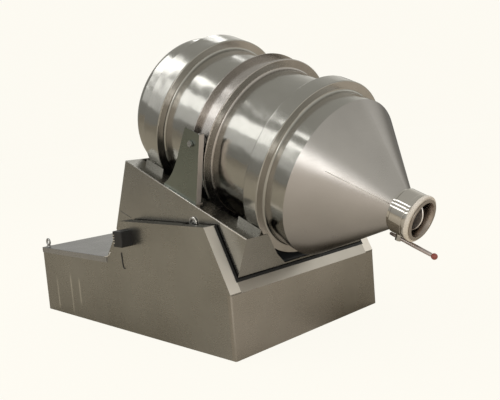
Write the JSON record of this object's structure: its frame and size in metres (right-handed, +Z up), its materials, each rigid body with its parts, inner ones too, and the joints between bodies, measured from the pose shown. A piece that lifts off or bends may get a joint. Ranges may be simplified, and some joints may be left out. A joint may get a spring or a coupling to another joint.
{
  "type": "two-dimensional motion mixer",
  "caption": "Closed drum with a cone and outlet valve, turning on rollers in a cradle that rocks on a floor cabinet to blend powder.",
  "frame": {"origin": "centre of the cabinet's footprint on the floor", "axes": "+X to the discharge end, +Z up, +Y to the left of someone facing +X"},
  "size_m": [2.9142, 1.3793, 1.8399],
  "materials": {
    "cabinet_steel": "brushed stainless sheet",
    "cradle_steel": "brushed stainless sheet",
    "drum_steel": "polished stainless",
    "frame_paint": "satin grey paint",
    "bearing_iron": "painted casting",
    "machined_steel": "turned",
    "bolt_steel": "zinc plated",
    "oiled_steel": "oiled",
    "motor_paint": "satin paint",
    "trim_rubber": "matt black",
    "socket_plastic": "black moulding",
    "seat_silicone": "cream silicone",
    "knob_plastic": "red-brown ball"
  },
  "bodies": {
    "base": {"cabinet_side_right": "cabinet_steel", "cabinet_side_left": "cabinet_steel", "cabinet_front": "cabinet_steel", "cabinet_rear": "cabinet_steel", "deck_panel": "cabinet_steel", "well_panel": "cabinet_steel", "base_frame": "frame_paint", "pivot_post_right": "frame_paint", "pivot_post_left": "frame_paint", "pivot_bearing_right": "bearing_iron", "pivot_bearing_left": "bearing_iron", "bearing_bolts": "bolt_steel", "opening_trim": "trim_rubber", "lifting_eyes": "machined_steel", "power_socket": "socket_plastic", "swing_gearmotor": "motor_paint"},
    "cradle": {"cradle_side_right": "cradle_steel", "cradle_side_left": "cradle_steel", "cradle_front_panel": "cradle_steel", "cradle_rear_panel": "cradle_steel", "belly_tray": "cradle_steel", "cross_beam_front": "frame_paint", "cross_beam_rear": "frame_paint", "pivot_shaft_right": "machined_steel", "pivot_shaft_left": "machined_steel", "roller_blocks": "bearing_iron", "block_bolts": "bolt_steel", "rod_lug": "frame_paint", "rod_pin": "machined_steel", "drum_gearmotor": "motor_paint", "drive_chain": "oiled_steel", "roller_guards": "cradle_steel", "stop_bracket_right": "cradle_steel", "stop_bracket_left": "cradle_steel", "bracket_bolts": "bolt_steel", "stop_axles": "machined_steel"},
    "drum": {"drum_shell": "drum_steel", "drum_rear_head": "drum_steel", "drum_cone": "drum_steel", "running_ring_rear": "drum_steel", "running_ring_front": "drum_steel", "thrust_ring": "drum_steel", "lifting_plates": "drum_steel", "port_flange": "drum_steel", "valve_body": "drum_steel", "valve_seat": "seat_silicone", "valve_front_ring": "drum_steel"},
    "valve": {"valve_disc": "drum_steel", "valve_lever": "drum_steel", "valve_knob": "knob_plastic"},
    "drive_shaft_body": {"drive_shaft": "machined_steel", "driven_rollers": "machined_steel", "shaft_sprocket": "oiled_steel"},
    "idler_front": {"idler_roller_front": "machined_steel"},
    "idler_rear": {"idler_roller_rear": "machined_steel"},
    "motor_output": {"motor_sprocket": "oiled_steel"},
    "stop_right": {"stop_roller_right": "machined_steel"},
    "stop_left": {"stop_roller_left": "machined_steel"},
    "crank_body": {"crank": "frame_paint"},
    "rod_body": {"connecting_rod": "frame_paint"}
  },
  "joints": [
    {"name": "swing", "type": "hinge", "parent": "base", "child": "cradle", "pos_m": [0.665, 0, 0.724], "axis": [0, 1, 0], "range_deg": [-45.6, 0]},
    {"name": "drum_spin", "type": "hinge", "parent": "cradle", "child": "drum", "pos_m": [0.82735, 0, 1.11022], "axis": [0.9219, 0, -0.3875], "continuous": true},
    {"name": "valve_turn", "type": "hinge", "parent": "drum", "child": "valve", "pos_m": [1.71695, 0, 0.73626], "axis": [-0.3875, 0, -0.9219], "range_deg": [0, 90]},
    {"name": "drive_spin", "type": "hinge", "parent": "cradle", "child": "drive_shaft_body", "pos_m": [0.64737, -0.38972, 0.68205], "axis": [0.9219, 0, -0.3875], "continuous": true},
    {"name": "idler_front_spin", "type": "hinge", "parent": "cradle", "child": "idler_front", "pos_m": [0.94974, 0.38972, 0.55495], "axis": [0.9219, 0, -0.3875], "continuous": true},
    {"name": "idler_rear_spin", "type": "hinge", "parent": "cradle", "child": "idler_rear", "pos_m": [0.13297, 0.38972, 0.89829], "axis": [0.9219, 0, -0.3875], "continuous": true},
    {"name": "motor_spin", "type": "hinge", "parent": "cradle", "child": "motor_output", "pos_m": [-0.07084, -0.15, 0.70247], "axis": [0.9219, 0, -0.3875], "continuous": true},
    {"name": "stop_right_spin", "type": "hinge", "parent": "cradle", "child": "stop_right", "pos_m": [0.73355, -0.52, 1.17351], "axis": [0, 1, 0], "continuous": true},
    {"name": "stop_left_spin", "type": "hinge", "parent": "cradle", "child": "stop_left", "pos_m": [0.73355, 0.52, 1.17351], "axis": [0, 1, 0], "continuous": true},
    {"name": "crank_turn", "type": "hinge", "parent": "base", "child": "crank_body", "pos_m": [0.85, -0.045, 0.205], "axis": [0, 1, 0], "range_deg": [-163, 0]},
    {"name": "rod_turn", "type": "hinge", "parent": "cradle", "child": "rod_body", "pos_m": [0.78203, 0, 0.51209], "axis": [0, 1, 0], "range_deg": [0, 66]}
  ],
  "couplings": [
    {"joint": "drive_spin", "follows": "drum_spin", "ratio": -6.575},
    {"joint": "idler_front_spin", "follows": "drum_spin", "ratio": -6.575},
    {"joint": "idler_rear_spin", "follows": "drum_spin", "ratio": -6.575},
    {"joint": "motor_spin", "follows": "drum_spin", "ratio": -8.7667},
    {"joint": "stop_right_spin", "follows": "drum_spin", "ratio": -9.7642},
    {"joint": "stop_left_spin", "follows": "drum_spin", "ratio": 9.7642},
    {"joint": "crank_turn", "follows": "swing", "ratio": 3.5406},
    {"joint": "rod_turn", "follows": "swing", "ratio": -1.4067}
  ]
}
